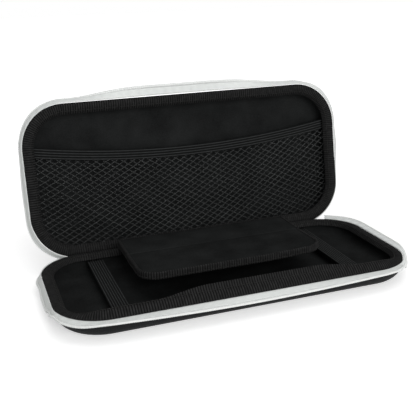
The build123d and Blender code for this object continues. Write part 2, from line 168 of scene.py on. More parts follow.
class CaseSizes(bpy.types.PropertyGroup):
    """Sizes of the soft pieces."""

    bind_w: length("Binding width", "Seen width of the binding along both rims", 8.2)
    bind_crown: length("Binding crown", "Crown of the binding from the rim's edge", 3.2)
    bind_drop: length("Binding drop", "Inner edge of the binding below the rim", 2.2)
    # The real ribs are about 1.4 mm apart, too fine to show
    rib_pitch: length("Rib pitch", "Distance between the binding's ribs", 1.8)
    rib_rise: length("Rib rise", "Height of the binding's ribs", 0.25)
    stitch_pitch: length("Stitch pitch", "Distance between stitches", 2.8)
    stitch_w: length("Stitch width", "Thickness of the sewing thread", 0.45)
    tape_w: length("Tape width", "Seen width of the zipper tape", 5.8)
    tape_end_w: length("Tape end width", "Width of the tape where it is tucked in", 4.6)
    tape_gather_w: length("Tape gathered width", "Width of the tape where a corner gathers it", 2.8)
    tape_t: length("Tape thickness", "Thickness of the zipper tape", 0.6)
    tape_root: length("Tape root", "Tape's seam outside the rim's edge", 0.55)
    coil_w: length("Coil width", "Width of the nylon coil", 2.4)
    coil_t: length("Coil height", "Height of the nylon coil", 2.0)
    coil_pitch: length("Coil pitch", "Distance between the coil's turns", 1.5)
    coil_wire: length("Coil wire", "Thickness of the coil's wire", 0.8)
    net_depth: length("Net depth", "Net below the lid's rim", 6.2)
    net_cell_w: length("Net cell width", "Width of one diamond of the net", 7.04)
    net_cell_h: length("Net cell height", "Height of one diamond of the net", 4.4)
    net_yarn: length("Net yarn", "Thickness of the net's yarn", 1.0)
    hem_w: length("Hem width", "Width of the pocket's elastic hem", 8.0)
    hem_t: length("Hem thickness", "Thickness of the hem", 1.6)
    hem_end: length("Hem at its ends", "Top of the hem above the rear rim at its ends", 86.5)
    hem_mid: length("Hem at its middle", "Top of the hem above the rear rim in the middle", 75.2)
    hem_ribs: IntProperty(name="Hem ribs", description="Cords along the hem", default=4, min=1)
    strap_w: length("Strap width", "Width of the elastic straps", 12.3)
    strap_t: length("Strap thickness", "Thickness of the elastic straps", 1.2)
    strap_in: length("Strap place", "Centre of a strap from the side of the rim", 42.5)
    strap_drop: length("Strap depth", "Top of a strap below the rim", 4.4)
    strap_ribs: IntProperty(name="Strap ribs", description="Cords along a strap", default=7, min=1)
    flap_w: length("Flap width", "Width of the padded flap", 136)
    flap_t: length("Flap thickness", "Thickness of the padded flap", 4)
    flap_bind_t: length("Flap binding", "Thickness of the binding round the flap", 0.6)
    flap_lip: length("Flap lip", "Width of the flap's binding on its faces", 1.6)
    flap_r: length("Flap corners", "Radius of the flap's front corners", 13)


class CaseColours(bpy.types.PropertyGroup):
    """Colours of the finishes."""

    shell: colour("Shell cloth", "Cloth on the outside of both halves", "#1c1d1e")
    lining: colour("Lining", "Brushed lining inside both halves", "#222323")
    binding: colour("Binding", "Ribbed tape round the edges", "#212121")
    thread: colour("Thread", "Sewing thread of the dark seams", "#2b2b2a")
    elastic: colour("Elastic", "Straps and hem", "#272828")
    net: colour("Net", "Yarn of the pocket's net", "#404141")
    tape: colour("Tape", "Woven zipper tape", "#e9ecea")
    coil: colour("Coil", "Nylon coil of the zipper", "#eceeec")
    metal: colour("Slider", "Sliders and pulls", "#b9bbbb")
    floor: colour("Floor", "Studio floor", "#f4f4f4")


# Shapes


def eased(keys, place):
    """The value of a list of keys at a place, easing from one key to the next."""
    if place <= keys[0][0]:
        return keys[0][1]
    for (a, low), (b, high) in zip(keys, keys[1:]):
        if place <= b:
            share = (1 - math.cos(math.pi * (place - a) / (b - a))) / 2
            return low + (high - low) * share
    return keys[-1][1]


def straight(place, x0, y0, x1, y1):
    """A straight run: its first place, its length, and the point and outward direction at a share."""
    start, stop = Vector((x0, y0, 0)), Vector((x1, y1, 0))
    ahead = (stop - start).normalized()
    out = Vector((ahead.y, -ahead.x, 0))
    return place, (stop - start).length, lambda share: (start.lerp(stop, share), out)


def bend(place, x, y, radius, start, stop):
    """A rounded corner about a centre, as a run."""

    def at(share):
        angle = start + (stop - start) * share
        out = Vector((math.cos(angle), math.sin(angle), 0))
        return Vector((x, y, 0)) + out * radius, out

    return place, radius * abs(stop - start), at


def rim_runs(turn, rear):
    """Runs round the rim from rear left to rear right, with a corner turn and a rear run at both ends."""
    side, quarter = RIM_W / 2, math.pi / 2
    runs = [
        bend(0, -HALF_X, HALF_Y, RIM_R, math.pi - turn, math.pi),
        straight(1, -side, HALF_Y, -side, -HALF_Y),
        bend(2, -HALF_X, -HALF_Y, RIM_R, math.pi, 3 * quarter),
        straight(3, -HALF_X, -REAR, HALF_X, -REAR),
        bend(4, HALF_X, -HALF_Y, RIM_R, 3 * quarter, 4 * quarter),
        straight(5, side, -HALF_Y, side, HALF_Y),
        bend(6, HALF_X, HALF_Y, RIM_R, 0, turn),
    ]
    if rear:
        runs.insert(0, straight(-1, rear - HALF_X, REAR, -HALF_X, REAR))
        runs.append(straight(7, HALF_X, REAR, HALF_X - rear, REAR))
    return runs


def walk(runs, count):
    """Evenly spaced stations along runs, a count of steps from the first start to the last end."""
    total = sum(run[1] for run in runs)
    stations = []
    for step in range(count + 1):
        rest = total * step / count
        for place, reach, at in runs:
            if rest <= reach or place == runs[-1][0]:
                share = min(rest / reach, 1)
                stations.append(Station(total * step / count, place + share, *at(share)))
                break
            rest -= reach
    return stations


def whole_rim(step):
    """Stations once round the rim, in whole steps, without the last one, which is the first again."""
    runs = rim_runs(math.pi / 2, HALF_X)
    total = sum(run[1] for run in runs)
    return walk(runs, 4 * round(total / step / 4))[:-1], total


def skin(bm, rows, along, ring=False, total=0, across=None):
    """Lay a grid through rows of points, with a UV map in metres. Ring closes each row, and a total
    length joins the last row to the first."""
    first = rows[0] + rows[0][:1] if ring else rows[0]
    if across is None:
        across = [0.0]
        for a, b in zip(first, first[1:]):
            across.append(across[-1] + (b - a).length)
    rows = [row + row[:1] for row in rows] if ring else rows
    along = list(along)
    if total:
        rows = rows + rows[:1]
        along.append(total)
    cols = len(rows[0])
    grid = bmesh.ops.create_grid(bm, x_segments=cols - 1, y_segments=len(rows) - 1, size=1)["verts"]
    place = {}
    for number, vert in enumerate(grid):
        row, col = divmod(number, cols)
        vert.co = rows[row][col]
        place[vert] = (along[row], across[col])
    uv = bm.loops.layers.uv.get("UVMap") or bm.loops.layers.uv.new("UVMap")
    for face in {face for vert in grid for face in vert.link_faces}:
        for loop in face.loops:
            loop[uv].uv = place[loop.vert]
    if ring or total:
        bmesh.ops.remove_doubles(bm, verts=grid, dist=0.001 * MM)
    if ring and not total:
        ends = [edge for edge in bm.edges if edge.is_boundary]
        bmesh.ops.holes_fill(bm, edges=ends)


def tube(bm, path, radius, sides=5):
    """A round strand along a path of points."""
    rows, along, gone = [], [], 0.0
    for number, point in enumerate(path):
        ahead = path[min(number + 1, len(path) - 1)] - path[max(number - 1, 0)]
        side = ahead.orthogonal() if abs(ahead.normalized().z) > 0.95 else ahead.cross(Vector((0, 0, 1)))
        side = side.normalized()
        up = side.cross(ahead).normalized()
        turns = [2 * math.pi * s / sides for s in range(sides)]
        rows.append([point + (side * math.cos(t) + up * math.sin(t)) * radius for t in turns])
        gone += (point - path[max(number - 1, 0)]).length
        along.append(gone)
    skin(bm, rows, along, ring=True)


def make(bm, name, place, body, slot, replaces=(), looks=()):
    """Turn a bmesh from the rim frame into a piece that rides on a body, finished as its slot says or
    with other looks."""
    bm.transform(place)
    bmesh.ops.recalc_face_normals(bm, faces=bm.faces)
    mesh = bpy.data.meshes.new(name)
    bm.to_mesh(mesh)
    bm.free()
    mesh.shade_smooth()
    for look in looks or [slot]:
        mesh.materials.append(finish(look))
    piece = bpy.data.objects.new(name, mesh)
    bpy.context.scene.collection.objects.link(piece)
    if body:
        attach(piece, body)
    if replaces:
        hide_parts(*replaces)
    return piece


# Materials


def add(tree, kind, inputs=(), **settings):
    """Add a node, set its properties, and set or link its inputs."""
    node = tree.nodes.new("ShaderNode" + kind)
    for name, value in settings.items():
        setattr(node, name, value)
    for name, value in dict(inputs).items():
        if isinstance(value, bpy.types.NodeSocket):
            tree.links.new(value, node.inputs[name])
        else:
            node.inputs[name].default_value = value
    return node


def material(name, **inputs):
    """A new material with a principled shader: returns the material, its tree and the shader."""
    found = bpy.data.materials.new(name)
    found.use_nodes = True
    shader = found.node_tree.nodes["Principled BSDF"]
    for socket, value in inputs.items():
        shader.inputs[socket.replace("_", " ")].default_value = value
    return found, found.node_tree, shader


def tint(tree, shader, base, factor, low, high):
    """Let a factor shade the base colour between two strengths."""
    dark = [c * low for c in base[:3]] + [1]
    light = [min(c * high, 1) for c in base[:3]] + [1]
    mix = add(tree, "Mix", {"Factor": factor}, data_type="RGBA")
    mix.inputs["A"].default_value = dark
    mix.inputs["B"].default_value = light
    tree.links.new(mix.outputs["Result"], shader.inputs["Base Color"])


def bump(tree, shader, height, depth):
    """Raise the surface by a height pattern, to a depth in metres."""
    node = add(tree, "Bump", {"Height": height, "Distance": depth, "Strength": 1.0})
    tree.links.new(node.outputs["Normal"], shader.inputs["Normal"])


def ridges(tree, vector, millimetres, way):
    """Smooth ridges so many millimetres apart, one after the other along X or Y."""
    scale = math.pi / 10 / (millimetres * MM)
    return add(tree, "TexWave", {"Vector": vector, "Scale": scale}, bands_direction=way).outputs["Fac"]


def mottle(tree, vector, millimetres, detail):
    """Random cloud with grains so many millimetres across."""
    scale = 1 / (millimetres * MM)
    return add(tree, "TexNoise", {"Vector": vector, "Scale": scale, "Detail": detail}).outputs["Fac"]


def shell_cloth():
    """Nylon cloth laminated to moulded foam: a matt black with a fine plain weave, here drawn coarser
    than its half-millimetre thread so that it shows."""
    base = bpy.context.scene.case_colours.shell
    found, tree, shader = material("nylon_shell_cloth", Roughness=0.62, Specular_IOR_Level=0.1)
    spot = add(tree, "TexCoord").outputs["Object"]
    parts = add(tree, "SeparateXYZ", {"Vector": spot}).outputs
    rise = add(tree, "Math", {0: parts["Y"], 1: parts["Z"]}, operation="ADD").outputs[0]
    flat = add(tree, "CombineXYZ", {"X": parts["X"], "Y": rise}).outputs[0]
    warp = ridges(tree, flat, 1.1, "X")
    weft = ridges(tree, flat, 1.1, "Y")
    weave = add(tree, "Math", {0: warp, 1: weft}, operation="MULTIPLY").outputs[0]
    cloud = mottle(tree, spot, 14, 3.0)
    tint(tree, shader, base, cloud, 0.8, 1.25)
    bump(tree, shader, weave, 0.12 * MM)
    return found


def lining_cloth():
    """Brushed polyester lining glued to the foam: very matt, with a short nap that clouds its tone."""
    base = bpy.context.scene.case_colours.lining
    found, tree, shader = material("brushed_lining", Roughness=0.9, Specular_IOR_Level=0.0)
    spot = add(tree, "TexCoord").outputs["Object"]
    nap = mottle(tree, spot, 0.9, 2.0)
    cloud = mottle(tree, spot, 20, 5.0)
    both = add(tree, "Mix", {"Factor": 0.35, "A": cloud, "B": nap}).outputs["Result"]
    tint(tree, shader, base, both, 0.0, 2.0)
    bump(tree, shader, nap, 0.1 * MM)
    return found


def grosgrain():
    """Ribbed polyester binding: matt, its raised cross ribs painted paler as a highlight, under a random
    mottle of wear.
    """
    base = bpy.context.scene.case_colours.binding
    pitch = bpy.context.scene.case_sizes.rib_pitch / MM
    found, tree, shader = material("grosgrain_binding", Roughness=0.7, Specular_IOR_Level=0.02)
    uv = add(tree, "UVMap", uv_map="UVMap").outputs[0]
    # painted highlight: the colour wave makes each rib paler, standing in for light on the ribs; the wear
    # mottle varies it at random
    rib = ridges(tree, uv, pitch, "X")
    wear = mottle(tree, uv, 3, 2.0)
    both = add(tree, "Math", {0: rib, 1: wear}, operation="MULTIPLY").outputs[0]
    tint(tree, shader, base, both, 0.35, 3.2)
    bump(tree, shader, wear, 0.08 * MM)
    return found


def elastic_web():
    """Woven elastic: matt, with pale lengthwise cords and fine threads across them."""
    base = bpy.context.scene.case_colours.elastic
    found, tree, shader = material("woven_elastic", Roughness=0.7, Specular_IOR_Level=0.02)
    uv = add(tree, "UVMap", uv_map="UVMap").outputs[0]
    pick = ridges(tree, uv, 0.9, "X")
    worn = mottle(tree, uv, 4, 2.0)
    cord = ridges(tree, uv, CORD / MM, "Y")
    ridge = add(tree, "Math", {0: cord, 1: 3.0}, operation="POWER").outputs[0]
    both = add(tree, "Mix", {"Factor": 0.4, "A": pick, "B": worn}).outputs["Result"]
    lines = add(tree, "Math", {0: ridge, 1: both}, operation="MULTIPLY").outputs[0]
    tint(tree, shader, base, lines, 0.4, 3.6)
    bump(tree, shader, pick, 0.1 * MM)
    return found


def net_yarn():
    """Knitted polyester yarn: a loose satin bundle that glints, and lets some light through between its
    filaments, so that the net looks soft."""
    base = bpy.context.scene.case_colours.net
    found, tree, shader = material("net_yarn", Roughness=0.42, Specular_IOR_Level=0.06, Alpha=0.45)
    spot = add(tree, "TexCoord").outputs["Object"]
    twist = mottle(tree, spot, 1.5, 1.0)
    slack = mottle(tree, spot, 35, 1.0)
    both = add(tree, "Mix", {"Factor": 0.6, "A": twist, "B": slack}).outputs["Result"]
    tint(tree, shader, base, both, 0.4, 1.6)
    return found


def tape_weave():
    """White woven polyester tape: matt, with a fine twill along it and a little grey in its weave."""
    base = bpy.context.scene.case_colours.tape
    found, tree, shader = material("woven_zipper_tape", Roughness=0.7, Specular_IOR_Level=0.2)
    uv = add(tree, "UVMap", uv_map="UVMap").outputs[0]
    pick = ridges(tree, uv, 1.0, "X")
    warp = ridges(tree, uv, 0.8, "Y")
    weave = add(tree, "Math", {0: pick, 1: warp}, operation="MULTIPLY").outputs[0]
    tint(tree, shader, base, weave, 0.93, 1.02)
    bump(tree, shader, weave, 0.06 * MM)
    return found


def nylon_coil():
    """White nylon monofilament, heat-set in a coil: smooth, slightly waxy and translucent."""
    base = bpy.context.scene.case_colours.coil
    found, tree, shader = material("nylon_coil", Roughness=0.4, Specular_IOR_Level=0.4)
    spot = add(tree, "TexCoord").outputs["Object"]
    haze = mottle(tree, spot, 2, 1.0)
    tint(tree, shader, base, haze, 0.94, 1.02)
    return found


def thread():
    """Spun polyester sewing thread: matt, a little paler than the tape that it holds."""
    base = bpy.context.scene.case_colours.thread
    found, tree, shader = material("sewing_thread", Roughness=0.6, Specular_IOR_Level=0.05)
    spot = add(tree, "TexCoord").outputs["Object"]
    ply = mottle(tree, spot, 0.8, 1.0)
    tint(tree, shader, base, ply, 0.7, 1.3)
    return found


def slider_metal():
    """Die-cast zinc with a tumbled nickel finish: a soft grey metal with faint scratches."""
    base = bpy.context.scene.case_colours.metal
    found, tree, shader = material("nickel_slider", Metallic=1.0)
    spot = add(tree, "TexCoord").outputs["Object"]
    rub = mottle(tree, spot, 0.6, 4.0)
    rough = add(tree, "MapRange", {"Value": rub, "To Min": 0.26, "To Max": 0.46}).outputs[0]
    tree.links.new(rough, shader.inputs["Roughness"])
    tint(tree, shader, base, rub, 0.85, 1.1)
    bump(tree, shader, rub, 0.03 * MM)
    return found


FINISHES = {
    "shell_cloth": shell_cloth,
    "lining_cloth": lining_cloth,
    "binding_tape": grosgrain,
    "elastic": elastic_web,
    "net": net_yarn,
    "zipper_tape": tape_weave,
    "zipper_coil": nylon_coil,
    "slider_metal": slider_metal,
    "thread": thread,
}


def finish(name):
    """A finish's material, made once."""
    made = bpy.context.scene.get("case_finishes") or {}
    if name not in made:
        bpy.context.scene["case_finishes"] = {**dict(made), name: FINISHES[name]()}
    return bpy.context.scene["case_finishes"][name]


# Pieces


def tray(depth):
    """One moulded half: an outer skin and a lining, each a stack of rings from its middle to the rim."""
    stations = whole_rim(TRAY_STEP)[0]
    middle = HALF_X - 4 * EDGE_R

    def ring(inset, z):
        return [s.point - s.out * inset + Vector((0, 0, z)) for s in stations]

    def floor(inset, z, share):
        points = ring(inset, z)
        return [p.lerp(Vector((max(-middle, min(middle, p.x)), 0, z)), share) for p in points]

    def half(inset, radius, low):
        rings = [floor(inset + radius, low, share) for share in (1, 0.8, 0.6, 0.4, 0.2, 0.08)]
        for step in range(9):
            turn = math.pi / 2 * step / 8
            rings.append(ring(inset + radius * (1 - math.sin(turn)), low + radius * (1 - math.cos(turn))))
        rings.append(ring(inset, -RIM_LIP))
        return rings

    rows = half(0, EDGE_R, -depth) + half(WALL, EDGE_R - WALL, WALL - depth)[::-1]
    bm = bmesh.new()
    skin(bm, rows, [number * 4 * MM for number in range(len(rows))], ring=True)
    for face in bm.faces:
        face.material_index = int(is_lining(face.calc_center_median(), depth))
    return bm


def is_lining(point, depth):
    """Whether a point of a half belongs to its lining and not to its outer cloth."""
    x, y = abs(point.x), abs(point.y)
    corner = Vector((max(x - HALF_X, 0), max(y - HALF_Y, 0)))
    inset = RIM_R - corner.length if corner.x and corner.y else min(RIM_W / 2 - x, RIM_D / 2 - y)
    wall = inset > WALL / 2 and point.z > WALL / 2 - depth
    drop = point.z + depth
    if inset < EDGE_R and drop < EDGE_R:
        reach = math.hypot(EDGE_R - inset, EDGE_R - drop)
        return reach < EDGE_R - WALL / 2
    return wall


def binding_section(half, place):
    """The binding's curve from the rim's edge to its inner edge at a place: (inwards, upwards) points.
    Along the front of the base it rolls outwards, and its free edge stands up in the middle."""
    size = bpy.context.scene.case_sizes
    centre, radius = circle((0, 0), (-size.bind_crown, BIND_RISE), (-size.bind_w, -size.bind_drop))
    plain = []
    for share in BIND_SHARES:
        inward = share * size.bind_w
        plain.append((inward, centre[1] + math.sqrt(radius**2 - (inward + centre[0]) ** 2)))
    if half == "lid":
        return plain
    roll, flare = eased(ROLL, place), eased(FLARE, place)
    found = []
    for (inward, level), rolled, flared in zip(plain, ROLLED, FLARED):
        x, z = (low + (high - low) * flare for low, high in zip(rolled, flared))
        found.append((inward + (x * MM - inward) * roll, level + (z * MM - level) * roll))
    return found


def binding_rows(half, stations, pitch):
    """Rows across the binding, raised into ribs: one row for every station."""
    size = bpy.context.scene.case_sizes
    rows = []
    for station in stations:
        curve = binding_section(half, station.place)
        rib = size.rib_rise * (-0.5 - 0.5 * math.cos(2 * math.pi * station.along / pitch))
        section = [(WALL, -RIM_LIP), (0, -RIM_LIP), curve[0]]
        for before, spot, after in zip(curve, curve[1:], curve[2:]):
            run, rise = after[0] - before[0], after[1] - before[1]
            reach = math.hypot(run, rise) or 1
            section.append((spot[0] - rise / reach * rib, spot[1] + run / reach * rib))
        inward, level = curve[-1]
        nose = 0.5 * MM
        section += [curve[-1], (inward + nose / 4, level - nose), (inward - nose / 2, level - 2 * nose)]
        section.append((WALL, -RIM_LIP - 2 * nose))
        rows.append([station.point - station.out * x + Vector((0, 0, z)) for x, z in section])
    return rows


def circle(a, b, c):
    """Centre and radius of the circle through three points."""
    ax, ay, bx, by, cx, cy = *a, *b, *c
    d = 2 * (ax * (by - cy) + bx * (cy - ay) + cx * (ay - by))
    aa, bb, cc = ax * ax + ay * ay, bx * bx + by * by, cx * cx + cy * cy
    x = (aa * (by - cy) + bb * (cy - ay) + cc * (ay - by)) / d
    y = (aa * (cx - bx) + bb * (ax - cx) + cc * (bx - ax)) / d
    return (x, y), math.hypot(ax - x, ay - y)


def zip_stations(half):
    """Stations along one half's zipper."""
    size = bpy.context.scene.case_sizes
    if half == "base":
        runs = rim_runs(ZIP_TURN, 0)
    else:
        runs = rim_runs(math.pi / 2, HALF_X - SPINE_L / 2 - SLIDER_L / 2)
    total = sum(run[1] for run in runs)
    turns = round(total / size.coil_pitch)
    return walk(runs, 8 * turns)


def zip_frame(station, falls):
    """Root of the tape, its direction outwards and its outer face, at a station."""
    size = bpy.context.scene.case_sizes
    fall = math.radians(eased(falls, station.place))
    up = Vector((0, 0, 1))
    wide = station.out * math.cos(fall) + up * math.sin(fall)
    face = station.out * math.sin(fall) - up * math.cos(fall)
    return station.point + station.out * size.tape_root, wide, face


def tape_width(half, place):
    """Seen width of the tape, narrower where it is tucked in or gathered."""
    size = bpy.context.scene.case_sizes
    full, tucked, gathered = size.tape_w, size.tape_end_w, size.tape_gather_w
    keys = [(0, tucked), (1, full), (6, full), (7, tucked)]
    if half == "base":
        keys[2:2] = [
            (1.8, full), (2.05, gathered), (2.25, gathered), (2.45, tucked), (2.95, tucked), (3.15, full),
            (3.85, full), (4.1, tucked), (4.4, gathered), (4.7, gathered), (5.3, full),
        ]
    return eased(keys, place)


def tape(half, stations, falls):
    """The woven tape from its seam to the coil, a little wavy where it is loose."""
    size = bpy.context.scene.case_sizes
    rows = []
    for station in stations[::4]:
        root, wide, face = zip_frame(station, falls)
        reach = tape_width(half, station.place)
        ripple = 0.22 * MM * math.sin(2 * math.pi * station.along / (7 * MM))
        shares = (0, 0.2, 0.4, 0.6, 0.8, 1)
        waves = [ripple * s * (1 - s) * 4 - size.tape_t / 2 for s in shares]
        top = [root + wide * reach * s + face * wave for s, wave in zip(shares, waves)]
        low = [point + face * size.tape_t for point in reversed(top)]
        rows.append(top + low)
    bm = bmesh.new()
    skin(bm, rows, [s.along for s in stations[::4]], ring=True)
    return bm


def coil(half, stations, falls):
    """The nylon coil along the tape's free edge, wound as a flattened helix round a core cord."""
    size = bpy.context.scene.case_sizes
    wire = size.coil_wire / 2
    path, core, along = [], [], []
    for number, station in enumerate(stations):
        root, wide, face = zip_frame(station, falls)
        middle = root + wide * (tape_width(half, station.place) + size.coil_w / 2)
        turn = 2 * math.pi * number / 8
        reach, rise = size.coil_w / 2 - wire, size.coil_t / 2 - wire
        path.append(middle + wide * reach * math.cos(turn) + face * rise * math.sin(turn))
        if number % 4 == 0:
            turns = [2 * math.pi * side / 8 for side in range(8)]
            flat = [(size.coil_w / 2 * math.cos(t), (rise + wire / 4) * math.sin(t)) for t in turns]
            core.append([middle + wide * x + face * z for x, z in flat])
            along.append(station.along)
    bm = bmesh.new()
    tube(bm, path, wire)
    skin(bm, core, along, ring=True)
    return bm


def hem_line(x, drop):
    """The sagging hem at a place across the lid, a distance below its top edge, in the rim frame."""
    size = bpy.context.scene.case_sizes
    end, middle = REAR - size.hem_end, REAR - size.hem_mid
    if middle <= end:
        return middle + drop
    centre, radius = circle((-RIM_W / 2, end), (0, middle), (RIM_W / 2, end))
    return centre[1] + math.sqrt(radius**2 - x**2) + drop


def ribbed_web(path, width, thick, ribs, rise):
    """A woven elastic along a path of (point, across, out), with lengthwise cords on its outer face."""
    rows, along, gone, per = [], [], 0.0, 6
    for number, (point, across, out) in enumerate(path):
        top = []
        for step in range(ribs * per + 1):
            share = step / (ribs * per)
            cord = rise * abs(math.sin(math.pi * ribs * share))
            top.append(point + across * width * (share - 0.5) + out * cord)
        low = [point + across * width * s - out * thick for s in (0.5, 0.25, 0, -0.25, -0.5)]
        rows.append(top + low)
        gone += (point - path[max(number - 1, 0)][0]).length
        along.append(gone)
    bm = bmesh.new()
    skin(bm, rows, along, ring=True, across=[CORD * step / per for step in range(len(rows[0]) + 1)])
    return bm


def net_ok(point):
    """Whether a point of the net lies inside the lid's wall."""
    inset = WALL + WALL_GAP
    x, y = abs(point.x), point.y
    if x > RIM_W / 2 - inset or y > REAR - inset:
        return False
    dx, dy = x - HALF_X, y - HALF_Y
    return dx <= 0 or dy <= 0 or math.hypot(dx, dy) <= RIM_R - inset


def net_node(row, col):
    """A knot of the net: its rows hang parallel to the sagging hem, with soft slanting folds."""
    size = bpy.context.scene.case_sizes
    x = col * size.net_cell_w / 2
    y = hem_line(x, size.hem_w - 1 * MM) + row * size.net_cell_h / 2
    fold = noise.noise(Vector(((x + 0.8 * y) * 45, (y - 0.5 * x) * 14, 0.3)))
    return Vector((x, y, -size.net_depth + 0.9 * MM * fold))


def ramp(value, low, high):
    """0 below the low value, 1 above the high one, and smooth between."""
    share = max(0, min(1, (value - low) / (high - low)))
    return share * share * (3 - 2 * share)


def flap_top(x, y):
    """Top of the flap above the rim plane: a fold and a step at its crease, a curl at one front corner."""
    size = bpy.context.scene.case_sizes
    keys = ((FLAP_FRONT, 10.2 * MM), (FLAP_CREASE, 9.8 * MM), (FLAP_REAR, 10.4 * MM))
    step = 0.5 * MM * ramp(y, FLAP_CREASE - 0.7 * MM, FLAP_CREASE + 0.7 * MM)
    fade = 1 - ramp(y, FLAP_CREASE, FLAP_REAR)
    curl = 1.3 * MM * ramp(x, 20 * MM, size.flap_w / 2) * ramp(-y, -FLAP_CREASE, -FLAP_FRONT)
    fold = 0.45 * MM * max(0, 1 - abs(y - FLAP_CREASE) / (0.7 * MM))
    return eased(keys, y) + step * fade + curl + fold


def flap_sewn(point):
    """Whether a point of the flap lies on its sewn border or on its crease."""
    size = bpy.context.scene.case_sizes
    inset = 2 * MM
    x, y = abs(point.x) - size.flap_w / 2 + size.flap_r, FLAP_FRONT + size.flap_r - point.y
    out = math.hypot(max(x, 0), max(y, 0)) > size.flap_r - inset
    return out or point.y > FLAP_REAR - inset or abs(point.y - FLAP_CREASE) < 0.5 * MM


def swell(piece, sewn, pressure, cap):
    """Blow up a padded piece by cloth simulation. Sewn points stay, and no other moves beyond the cap."""
    scene = bpy.context.scene
    pins = piece.vertex_groups.new(name="sewn")
    pins.add(sewn, 1.0, "REPLACE")
    cloth = piece.modifiers.new("swell", "CLOTH")
    cloth.settings.vertex_group_mass = pins.name
    cloth.settings.use_pressure = True
    cloth.settings.uniform_pressure_force = pressure
    cloth.settings.effector_weights.gravity = 0
    for number in range(1, SWELL_FRAMES + 1):
        scene.frame_set(number)
    soft = piece.evaluated_get(bpy.context.evaluated_depsgraph_get()).data.vertices
    moves = [after.co - before.co for before, after in zip(piece.data.vertices, soft)]
    piece.modifiers.remove(cloth)
    piece.vertex_groups.remove(pins)
    scene.frame_set(1)
    if max(move.length for move in moves) < 0.05 * MM:
        raise RuntimeError(piece.name + " didn't swell")
    for vert, move in zip(piece.data.vertices, moves):
        vert.co += move * min(1, cap / max(move.length, cap))


def flap_runs(grow):
    """The flap's outline from its rear left corner round the front to its rear right, as runs."""
    size = bpy.context.scene.case_sizes
    x, r, quarter = size.flap_w / 2 + grow, size.flap_r + grow, math.pi / 2
    rear, front = FLAP_REAR, FLAP_FRONT - grow
    return [
        straight(0, -x, rear, -x, front + r),
        bend(1, r - x, front + r, r, math.pi, 3 * quarter),
        straight(2, r - x, front, x - r, front),
        bend(3, x - r, front + r, r, 3 * quarter, 4 * quarter),
        straight(4, x, front + r, x, rear),
    ]


class CASE_OT_shells(bpy.types.Operator):
    """Make the moulded halves with their outer cloth and their lining"""

    bl_idname = "case.shells"
    bl_label = "Shells"

    def execute(self, context):
        cloths = ("shell_cloth", "lining_cloth")
        make(tray(RIM_Z), "base_body", BASE_PLACE, "base", "shell_cloth", ["base_shell"], cloths)
        make(tray(LID_DEPTH), "lid_body", LID_PLACE, "lid", "shell_cloth", ["lid_shell"], cloths)
        return {"FINISHED"}


class CASE_OT_bindings(bpy.types.Operator):
    """Make the ribbed bindings along both rims"""

    bl_idname = "case.bindings"
    bl_label = "Bindings"

    def execute(self, context):
        size = context.scene.case_sizes
        stations, total = whole_rim(size.rib_pitch / 4)
        pitch = total / (len(stations) / 4)
        for half, place in (("base", BASE_PLACE), ("lid", LID_PLACE)):
            bm = bmesh.new()
            skin(bm, binding_rows(half, stations, pitch), [s.along for s in stations], ring=True, total=total)
            make(bm, half + "_rim", place, half, "binding_tape", [half + "_binding"])
        return {"FINISHED"}


class CASE_OT_zippers(bpy.types.Operator):
    """Make the white zipper tapes with their coils"""

    bl_idname = "case.zippers"
    bl_label = "Zippers"

    def execute(self, context):
        for half, place, falls in (("base", BASE_PLACE, BASE_FALL), ("lid", LID_PLACE, LID_FALL)):
            stations = zip_stations(half)
            web = tape(half, stations, falls)
            make(web, half + "_tape", place, half, "zipper_tape", [half + "_zipper_tape"])
            wire = coil(half, stations, falls)
            make(wire, half + "_coil", place, half, "zipper_coil", [half + "_zipper_coil"])
        return {"FINISHED"}


class CASE_OT_sliders(bpy.types.Operator):
    """Give the sliders and pulls their metal"""

    bl_idname = "case.sliders"
    bl_label = "Sliders"

    def execute(self, context):
        for name in ("left_slider", "right_slider", "left_pull", "right_pull"):
            node = frame["nodes"][name]
            node.data.materials.clear()
            node.data.materials.append(finish("slider_metal"))
        return {"FINISHED"}


class CASE_OT_straps(bpy.types.Operator):
    """Make the two elastic straps across the base"""

    bl_idname = "case.straps"
    bl_label = "Straps"

    def execute(self, context):
        size = context.scene.case_sizes
        reach = REAR - WALL - 0.6 * MM
        for name, side in (("left_strap", -1), ("right_strap", 1)):
            x = side * (RIM_W / 2 - size.strap_in)
            path = []
            for step in range(97):
                y = reach * (2 * step / 96 - 1)
                point = Vector((x, y, -size.strap_drop - 0.3 * MM))
                path.append((point, Vector((1, 0, 0)), Vector((0, 0, 1))))
            web = ribbed_web(path, size.strap_w, size.strap_t - 0.3 * MM, size.strap_ribs, 0.45 * MM)
            make(web, name + "_web", BASE_PLACE, "base", "elastic", [name])
        return {"FINISHED"}


